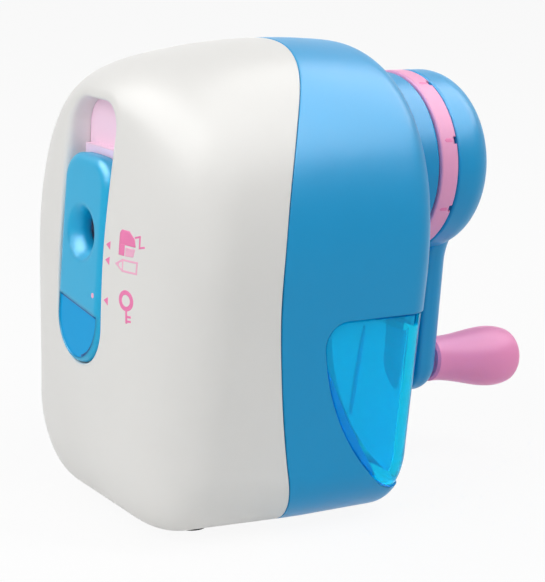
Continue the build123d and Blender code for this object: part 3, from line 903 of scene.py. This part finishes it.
@dataclass(frozen=True)
class PrintedMarks:
    """Small pictograms beside the slot: three pointers, a sharpener, a pencil and a key."""

    case: FrontCase
    pen: float = 0.42
    key_bow: Span = (2.3, 1.3)
    key_stem: float = 0.6
    key_tooth: float = 0.5
    pointers: tuple = (67.8, 64.4, 55.4)
    pointer_span: Span = (11.2, 13.0)
    shift: float = 0.8
    pointer_half: float = 0.95

    def place(self, grid: Array, lift: float) -> Array:
        """Points on the front of the case for pairs of x and z."""
        x, z = grid[..., 0] + self.shift, grid[..., 1]
        return np.stack([x, self.case.face_depth(x, z) + self.case.rim_drop(x, z) - lift, z], -1)

    def sharpener(self) -> list[Array]:
        """A block with a hanging crank."""
        top = patch_grid([(16.4, 68.9), (16.4, 71.3), (17.0, 72.1), (19.6, 72.1), (21.4, 70.6),
                          (21.8, 68.9)])
        side = patch_grid([(16.4, 66.5), (18.4, 66.5), (18.4, 69.0), (16.4, 69.0)])
        turns = [(21.5, 71.0), (22.8, 71.4), (22.9, 69.0), (24.1, 69.3)]
        return [top, side, *(stroke_grid(a, b, self.pen) for a, b in zip(turns, turns[1:]))]

    def drawer(self) -> list[Array]:
        """The sharpener's drawer, paler than its block."""
        return [patch_grid([(18.7, 66.5), (21.3, 66.7), (21.7, 68.5), (18.7, 68.5)])]

    def pencil(self) -> list[Array]:
        """An outlined pencil, its point to the left."""
        loop = [(15.7, 64.4), (18.0, 65.6), (22.5, 65.7), (22.4, 63.3), (18.0, 63.2), (15.7, 64.4)]
        lines = [stroke_grid(a, b, self.pen) for a, b in zip(loop, loop[1:])]
        lead = patch_grid([loop[0], (16.7, 64.9), (16.7, 63.9)])
        return [*lines, stroke_grid(loop[1], loop[4], self.pen), lead]

    def key(self) -> list[Array]:
        """A round key with two teeth."""
        stem = stroke_grid((19.7, 54.8), (19.8, 52.2), self.key_stem)
        teeth = [stroke_grid((19.9, z), (20.9, z + 0.1), self.key_tooth) for z in (53.4, 52.4)]
        return [disc_grid((19.5, 56.9), *self.key_bow), stem, *teeth]

    def build(self) -> None:
        """Print everything on the case."""
        near, far = self.pointer_span
        half = self.pointer_half
        pointers = [patch_grid([(near, z), (far, z + half), (far, z - half)]) for z in self.pointers]
        strong = [*pointers, *self.sharpener(), *self.key()]
        pale = [*self.drawer(), *self.pencil()]
        print_piece("case_marks", strong, self.place, PRINT_PINK, "housing")
        print_piece("case_marks_pale", pale, self.place, PRINT_PALE, "housing")


@dataclass(frozen=True)
class Gate:
    """Sliding pencil gate, with an index dot and painted shade, as dark strokes, along its inlay's top and
    right edge where the pocket's wall lies.
    """

    spot: tuple = (7.3, 55.3)
    radius: float = 0.6
    proud: float = 1.0
    inlay_proud: float = 0.45
    inlay_half: float = 8.98
    inlay_top: float = 51.68
    inlay_slant: float = math.radians(-7.0)
    round_height: float = 48.7
    # joint, joint_turn and joint_steps shape the painted-shade strokes round the inlay
    joint: float = 0.55
    joint_turn: float = 70.0
    joint_steps: int = 15
    lean: float = math.radians(2.6)
    lean_height: float = 60.0

    def on_plane(self, grid: Array, proud: float) -> Array:
        """Points for pairs of x and z on a leaning plane that stands so far forward."""
        x, z = grid[..., 0], grid[..., 1]
        return np.stack([x, (z - self.lean_height) * math.sin(self.lean) - proud, z], -1)

    def edge_shade_strokes(self) -> list[Array]:
        """Painted shade: strokes along the slanting top, down the right side and round the corner below."""
        half = self.inlay_half - self.joint / 2
        ends = [(x, self.inlay_top + x * math.tan(self.inlay_slant) - self.joint / 2) for x in (-half, half)]
        turns = np.radians(np.linspace(0, self.joint_turn, self.joint_steps))
        corner = [(half * math.cos(t), self.round_height - half * math.sin(t)) for t in turns]
        line = [*ends, *corner]
        return [stroke_grid(a, b, self.joint) for a, b in zip(line, line[1:])]

    def build(self) -> None:
        """Print the dot and the painted edge shade."""
        def on_face(grid: Array, lift: float) -> Array:
            """Points on the gate's own face."""
            return self.on_plane(grid, self.proud + lift)

        def on_inlay(grid: Array, lift: float) -> Array:
            """Points on the inlay's face."""
            return self.on_plane(grid, self.inlay_proud + lift)

        dot = disc_grid(self.spot, self.radius)
        print_piece("gate_mark", [dot], on_face, PRINT_PALE, "gate")
        # painted shade: dark strokes standing for the pocket's shaded wall round the inlay
        print_piece("inlay_edge_shade", self.edge_shade_strokes(), on_inlay, DEEP, "gate")

    def dress(self) -> None:
        """Finish the gate and its inlay."""
        dress(("slider",), SKY)
        dress(("slider_inlay",), INLAY)


@dataclass(frozen=True)
class PointDial:
    """Point dial, with a short tick in front of each of its notches."""

    radius: float = 22.2
    axis_height: float = 80.2
    first: float = -19.0
    click: float = 44.0
    count: int = 5
    depths: Span = (84.1, 86.4)
    width: float = 0.9
    tip: float = 0.6

    def place(self, grid: Array, lift: float) -> Array:
        """Points on the dial's rim.

        Args:
            grid: pairs of turn, in radians from the top, and depth.
            lift: height above the rim.

        Returns:
            Points with x, depth and z on the last axis.
        """
        turn, depth = grid[..., 0], grid[..., 1]
        out = self.radius + lift
        return np.stack([out * np.sin(turn), depth, self.axis_height + out * np.cos(turn)], -1)

    def build(self) -> None:
        """Print the ticks, each a small wedge that points at its notch."""
        half = self.width / 2 / self.radius
        near, far = self.depths
        shoulder = near + self.tip
        wedge = np.array([(-half, shoulder), (0, near), (half, shoulder), (half, far), (-half, far)])
        turns = [math.radians(self.first + self.click * step) for step in range(self.count)]
        wedges = [patch_grid([*(wedge + np.array([turn, 0]))]) for turn in turns]
        print_piece("dial_marks", wedges, self.place, PRINT_PINK, "point_dial")

    def dress(self) -> None:
        """Finish the dial, the hub it turns on and the stop it moves."""
        dress(("dial_ring",), RING_PINK)
        dress(("hub_base",), BLUE)
        dress(("hub_screws", "stop_rod"), STEEL)


@dataclass(frozen=True)
class Tray:
    """Clear tray, with what shows through its side: painted shade for the thick floor seen on edge, as a dark
    plate along its arc, and an upright rib.
    """

    form: CaseForm = CaseForm()
    arc: tuple = ((41.4, 51.2), (47.8, 27.8), (61.0, 11.0))
    span: Span = (0.2, 0.99)
    band: float = 2.3
    band_thick: float = 0.3
    band_power: float = 0.7
    band_columns: int = 60
    band_rows: int = 6
    skirt: float = 0.4
    inset: float = 2.3
    rib_depth: Span = (53.4, 51.9)
    rib_height: Span = (49.6, 28.0)
    rib_radius: float = 0.55
    rib_rows: int = 40
    rib_sides: int = 20

    def on_side(self, depth: Array, height: Array, inward: float) -> Array:
        """Points on the tray's right side, some way under its outer face."""
        return np.stack([self.form.side(depth, height, inward), depth, height], -1)

    def painted_floor_shade(self) -> None:
        """Painted shade: a dark crescent that follows the floor's arc, thickest in the middle, as a thin
        closed plate, for the darker look of the thick floor seen on edge.
        """
        points = np.array(self.arc)
        ends = points[1:] - points[0]
        y0, z0 = points[0] + np.linalg.solve(2 * ends, (ends ** 2).sum(1))
        radius = math.hypot(points[0][0] - y0, points[0][1] - z0)
        first, last = (math.atan2(z - z0, y - y0) % (2 * math.pi) for y, z in (self.arc[0], self.arc[2]))
        angle = first + (last - first) * np.linspace(*self.span, self.band_columns)[:, None]
        swell = np.sin(np.linspace(0, math.pi, self.band_columns))[:, None] ** self.band_power
        inner = radius - self.skirt - self.band * swell * np.linspace(0, 1, self.band_rows)
        depth, height = y0 + inner * np.cos(angle), z0 + inner * np.sin(angle)
        front = self.on_side(depth, height, self.inset)
        back = self.on_side(depth, height, self.inset + self.band_thick)
        rings = np.concatenate([front, back[:, ::-1]], 1)
        faces = grid_faces(*rings.shape[:2], False, True)
        # painted shade: a dark plate inside the clear side wall, standing for the thick floor seen on edge
        new_piece("tray_painted_floor_shade", rings, faces, DEEP, "tray")

    def rib(self) -> None:
        """An upright round bar against the inside of the wall, with round ends."""
        turn = np.linspace(0, 2 * math.pi, self.rib_sides, endpoint=False)
        along = np.linspace(0, math.pi, self.rib_rows)[:, None]
        thick = self.rib_radius * np.sqrt(np.sin(along).clip(0))
        share = (1 - np.cos(along)) / 2
        depth = self.rib_depth[0] + (self.rib_depth[1] - self.rib_depth[0]) * share
        height = self.rib_height[0] + (self.rib_height[1] - self.rib_height[0]) * share
        middle = self.on_side(depth, height, self.inset + self.rib_radius)
        rings = middle + np.stack([thick * np.sin(turn), thick * np.cos(turn), 0 * thick * turn], -1)
        new_piece("tray_rib", rings, grid_faces(*rings.shape[:2], False, True), DEEP, "tray")

    def build(self) -> None:
        """Make the painted floor shade and the rib."""
        self.painted_floor_shade()
        self.rib()

    def dress(self) -> None:
        """Finish the tray itself."""
        dress(("chip_tray",), CLEAR)


@dataclass(frozen=True)
class Coil:
    """An open coil spring along its own +Z, one unbroken wire."""

    radius: float
    wire: float
    turns: int
    length: float
    steps: int = 48
    sides: int = 10

    def rings(self) -> Array:
        """Rings of points along the wire, drawn to a point at each end.

        The wire's middle goes round at a steady rate while it climbs; each ring is a circle in the plane
        of the radius and the axis.

        Returns:
            Points with rings and places round the wire on the first two axes.
        """
        share = np.linspace(0, 1, self.turns * self.steps)[:, None]
        turn = 2 * math.pi * self.turns * share
        around = np.linspace(0, 2 * math.pi, self.sides, endpoint=False)
        thick = np.full_like(share, self.wire / 2)
        thick[[0, -1]] = 0
        out = self.radius + thick * np.cos(around)
        climb = self.wire / 2 + (self.length - self.wire) * share + thick * np.sin(around)
        return np.stack([out * np.cos(turn), out * np.sin(turn), climb], -1)


@dataclass(frozen=True)
class Chuck:
    """Pencil chuck, with the springs behind it and behind its jaws."""

    axis_height: float = 80.2
    rod_offset: float = 10.8
    return_coil: Coil = Coil(2.6, 0.6, 6, 10.0)
    return_start: float = 16.8
    feed: float = 4.2
    jaw_coil: Coil = Coil(1.2, 0.4, 4, 4.4)
    jaw_seat: float = 14.5
    jaw_depth: float = 15.8
    grip: float = 2.0
    slack: float = 0.1

    def anchor(self, x: float, depth: float, z: float) -> list[float]:
        """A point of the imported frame, in metres."""
        return to_metres(np.array([x, depth, z], float)).tolist()

    def returns(self) -> None:
        """Two springs on the guide rods, along the depth."""
        rings = self.return_coil.rings()
        along = np.stack([rings[..., 0], rings[..., 2] + self.return_start, -rings[..., 1]], -1)
        height = np.array([self.axis_height - self.rod_offset, self.axis_height + self.rod_offset])
        points = along + np.array([0, 0, 1]) * height[:, None, None, None]
        faces = grid_faces(*rings.shape[:2], False, True)
        both = np.concatenate([faces, faces + rings.shape[0] * rings.shape[1]])
        piece = new_piece("return_coils", points, both, STEEL, "housing")
        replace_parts(piece, "return_springs")
        rear = self.return_start + self.return_coil.length
        seat = self.anchor(0, rear, self.axis_height)
        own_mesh(piece)

    def jaws(self) -> None:
        """One spring behind each jaw, across the case."""
        rings = self.jaw_coil.rings()
        for name, side in (("right", 1), ("left", -1)):
            x = side * (self.jaw_seat - self.jaw_coil.length + rings[..., 2])
            height = self.axis_height - side * rings[..., 0]
            points = np.stack([x, self.jaw_depth + rings[..., 1], height], -1)
            faces = grid_faces(*rings.shape[:2], False, True)
            piece = new_piece(f"jaw_coil_{name}", points, faces, STEEL, "chuck")
            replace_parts(piece, "jaw_springs")
            seat = self.anchor(side * self.jaw_seat, self.jaw_depth, self.axis_height)
            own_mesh(piece)

    def build(self) -> None:
        """Wind all four springs."""
        self.returns()
        self.jaws()

    def dress(self) -> None:
        """Finish the carriage, its cover, the jaws and the rods."""
        dress(("chuck_carriage", "chuck_cover"), GREY)
        dress(("jaw_right", "jaw_left"), TAN)
        dress(("guide_rods",), STEEL)


@dataclass(frozen=True)
class Base:
    """Underside, with the heads of the two front base screws in their shallow seats."""

    places: tuple = ((-5.0, 28.0), (5.0, 28.0))
    level: float = 1.5
    radius: float = 2.35
    seat: float = 2.65
    gap: float = 0.01
    recess: Span = (0.9, 1.0)
    recess_level: float = -0.02
    face_level: float = -0.12
    edge_level: float = -0.04
    edge: float = 0.4
    head_top: float = 0.3
    seat_top: float = 0.2

    def lathe(self, name: str, profile: list, finish: Finish) -> None:
        """Turn a profile of radius and height about each screw's axis.

        Args:
            name: the piece's name.
            profile: pairs of radius and height over the floor's level, in order along the profile.
            finish: what it is made of.
        """
        turn = np.linspace(0, 2 * math.pi, ROUND_SIDES, endpoint=False)
        radius, height = np.array(profile, float).T[:, :, None]
        corners = grid_faces(len(profile), ROUND_SIDES, False, True)
        points, faces = [], []
        for index, (x, y) in enumerate(self.places):
            ring = (x + radius * np.sin(turn), y + radius * np.cos(turn), self.level + height + 0 * turn)
            points.append(np.stack(ring, -1).reshape(-1, 3))
            faces.append(corners + index * len(profile) * ROUND_SIDES)
        new_piece(name, np.concatenate(points), np.concatenate(faces), finish, "housing")

    def build(self) -> None:
        """Make the heads and the dark rings of their seats."""
        rim, bore = self.radius, self.radius + self.gap
        floor, step = self.recess
        head = [(0, self.recess_level), (floor, self.recess_level), (step, self.face_level),
                (rim - self.edge, self.face_level), (rim, self.edge_level), (rim, self.head_top),
                (0, self.head_top)]
        ring = [(bore, self.seat_top), (bore, self.recess_level), (self.seat, self.recess_level),
                (self.seat, self.seat_top), (bore, self.seat_top)]
        self.lathe("front_screw_heads", head, STEEL)
        self.lathe("front_screw_seats", ring, RUBBER)

    def dress(self) -> None:
        """Finish the tie plate, its screws and the feet."""
        dress(("tie_plate",), GREY)
        dress(("base_screws",), STEEL)
        dress(("rubber_feet",), RUBBER)


class CutterHead:
    """Gear frame and planetary cutter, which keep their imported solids."""

    def dress(self) -> None:
        """Finish the frame, the fixed gear and the cutter's steel parts."""
        dress(("gear_frame",), GREY)
        dress(("ring_gear",), TAN)
        dress(("frame_screws", "cutter_carrier", "cutter_axle", "helical_cutter", "cutter_pinion"), STEEL)


class Crank:
    """Crank with its knob and shaft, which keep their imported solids."""

    def dress(self) -> None:
        """Finish the arm, the knob, and the bearing parts."""
        dress(("crank_arm",), BLUE)
        dress(("knob",), KNOB_PINK)
        dress(("rear_bush",), TAN)
        dress(("crank_shaft", "knob_pin"), STEEL)


class Role(Enum):
    """What a lamp is for: lighting surfaces, or only showing in glossy ones."""

    LIGHT = "light"
    SHEEN = "sheen"


@dataclass(frozen=True)
class Lamp:
    """One soft rectangular lamp, with its place and size in metres."""

    name: str
    place: tuple
    size: Span
    watts: float
    role: Role = Role.LIGHT

    def hang(self, aim: tuple) -> None:
        """Put the lamp into the scene.

        Args:
            aim: the point that it looks at, in metres.
        """
        data = bpy.data.lights.new(self.name, "AREA")
        data.shape = "RECTANGLE"
        data.size, data.size_y = self.size
        data.energy = self.watts
        lamp = bpy.data.objects.new(self.name, data)
        bpy.context.scene.collection.objects.link(lamp)
        lamp.location = self.place
        lamp.rotation_mode = "QUATERNION"
        lamp.rotation_quaternion = (Vector(aim) - Vector(self.place)).to_track_quat("-Z", "Y")
        lamp.visible_diffuse = self.role is Role.LIGHT


@dataclass(frozen=True)
class Studio:
    """Pale floor, soft lamps and a camera at the photograph's angle."""

    azimuth: float = 56.73
    elevation: float = 12.99
    distance: float = 427.78
    target: tuple = (0.0, 51.0, 50.11)
    focal_pixels: float = 1779.83
    roll: float = 2.5
    sensor: float = 36.0
    clip_start: float = 0.01
    aim: tuple = (0.0, 0.0, 0.065)
    sky: Span = (0.3, 1.0)
    floor_half: float = 3.0
    floor_points: int = 13
    floor_grey: float = 0.86
    floor_gloss: float = 0.9
    floor_glow: float = 0.92
    lamps: tuple[Lamp, ...] = (
        Lamp("key", (0.25, -0.95, 0.65), (0.8, 0.7), 6.0),
        Lamp("side", (0.47, 0.34, 0.82), (0.16, 0.9), 3.2),
        Lamp("top", (-0.3, -0.2, 1.1), (0.8, 0.8), 1.4),
        Lamp("rear_softbox", (0.34, 0.4, 0.92), (1.8, 1.1), 42.0, Role.SHEEN),
        Lamp("front_softbox", (0.05, -0.5, 0.95), (1.6, 0.9), 46.0, Role.SHEEN))

    def camera(self) -> None:
        """Stand the camera at its angle from the target, rolled a little, with the photo's focal length."""
        turn, lift, roll = (math.radians(v) for v in (self.azimuth, self.elevation, self.roll))
        level = math.cos(lift)
        back = Vector((math.sin(turn) * level, -math.cos(turn) * level, math.sin(lift)))
        right = Vector((math.cos(turn), math.sin(turn), 0))
        up = back.cross(right)
        tilted_right = right * math.cos(roll) + up * math.sin(roll)
        tilted_up = up * math.cos(roll) - right * math.sin(roll)
        target = Vector(to_metres(np.array(self.target, float)).tolist())
        data = bpy.data.cameras.new("camera")
        data.sensor_width = self.sensor
        data.lens = self.focal_pixels / max(IMAGE_SIZE) * self.sensor
        data.clip_start = self.clip_start
        camera = bpy.data.objects.new("camera", data)
        bpy.context.scene.collection.objects.link(camera)
        turned = Matrix((tilted_right, tilted_up, back)).transposed().to_4x4()
        camera.matrix_world = Matrix.Translation(target + back * self.distance * MM) @ turned
        bpy.context.scene.camera = camera

    def seen_ray(self, graph: Graph) -> bpy.types.NodeSocket:
        """Tell rays that are seen from rays that light a surface.

        Args:
            graph: the node tree to work in.

        Returns:
            A socket, 1 for a ray from the camera, a mirror or glass, and 0 for any other.
        """
        path = graph.add("LightPath").outputs
        seen = path["Is Camera Ray"]
        for kind in ("Is Glossy Ray", "Is Transmission Ray"):
            seen = graph.add("Math", set_operation="MAXIMUM", at0=seen, at1=path[kind]).outputs[0]
        return seen

    def world(self) -> None:
        """An even pale sky: white to the eye, gentler as light."""
        world = bpy.data.worlds.new("studio")
        bpy.context.scene.world = world
        world.use_nodes = True
        graph = Graph(world.node_tree)
        shade = world.node_tree.nodes["Background"]
        dim, full = self.sky
        strength = graph.add("MapRange", Value=self.seen_ray(graph), To_Min=dim, To_Max=full)
        shade.inputs["Color"].default_value = (1, 1, 1, 1)
        graph.put(shade, "Strength", strength.outputs[0])

    def floor(self) -> None:
        """A wide level floor, mostly white to the eye, that takes a soft shadow and is clear from below."""
        count = self.floor_points
        x, y = np.meshgrid(*[np.linspace(-self.floor_half, self.floor_half, count)] * 2)
        points = np.stack([x, y, np.zeros_like(x)], -1).reshape(-1, 3)
        mesh = bpy.data.meshes.new("floor")
        mesh.from_pydata(points.tolist(), [], grid_faces(count, count, False, False).tolist())
        material = bpy.data.materials.new("floor_paper")
        material.use_nodes = True
        graph = Graph(material.node_tree)
        shader = material.node_tree.nodes["Principled BSDF"]
        shader.inputs["Base Color"].default_value = (*[self.floor_grey] * 3, 1)
        shader.inputs["Roughness"].default_value = self.floor_gloss
        shader.inputs["Specular IOR Level"].default_value = 0.0
        paper = graph.add("Emission", Strength=1.0)
        share = graph.blend(self.seen_ray(graph), self.floor_glow, 0.0)
        mix = graph.add("MixShader", Fac=share, at1=shader.outputs[0], at2=paper.outputs[0])
        behind = graph.add("NewGeometry").outputs["Backfacing"]
        gone = graph.add("BsdfTransparent").outputs[0]
        sheet = graph.add("MixShader", Fac=behind, at1=mix.outputs[0], at2=gone)
        graph.put(material.node_tree.nodes["Material Output"], "Surface", sheet.outputs[0])
        mesh.materials.append(material)
        floor = bpy.data.objects.new("floor", mesh)
        bpy.context.scene.collection.objects.link(floor)

    def build(self) -> None:
        """Set up the camera, the light and the floor."""
        bpy.context.scene.view_settings.view_transform = "Standard"
        self.camera()
        self.world()
        self.floor()
        for lamp in self.lamps:
            lamp.hang(self.aim)


def main() -> None:
    """Build every sub-assembly in order, then the studio."""
    logging.basicConfig(level=logging.INFO, format="%(message)s")
    case = FrontCase()
    case.build()
    case.dress()
    PrintedMarks(case).build()
    for assembly in (Gate(), PointDial(), Tray(), Chuck(), Base()):
        assembly.build()
        assembly.dress()
    CutterHead().dress()
    Crank().dress()
    Studio().build()


if __name__ == "__main__":
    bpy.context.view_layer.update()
    main()
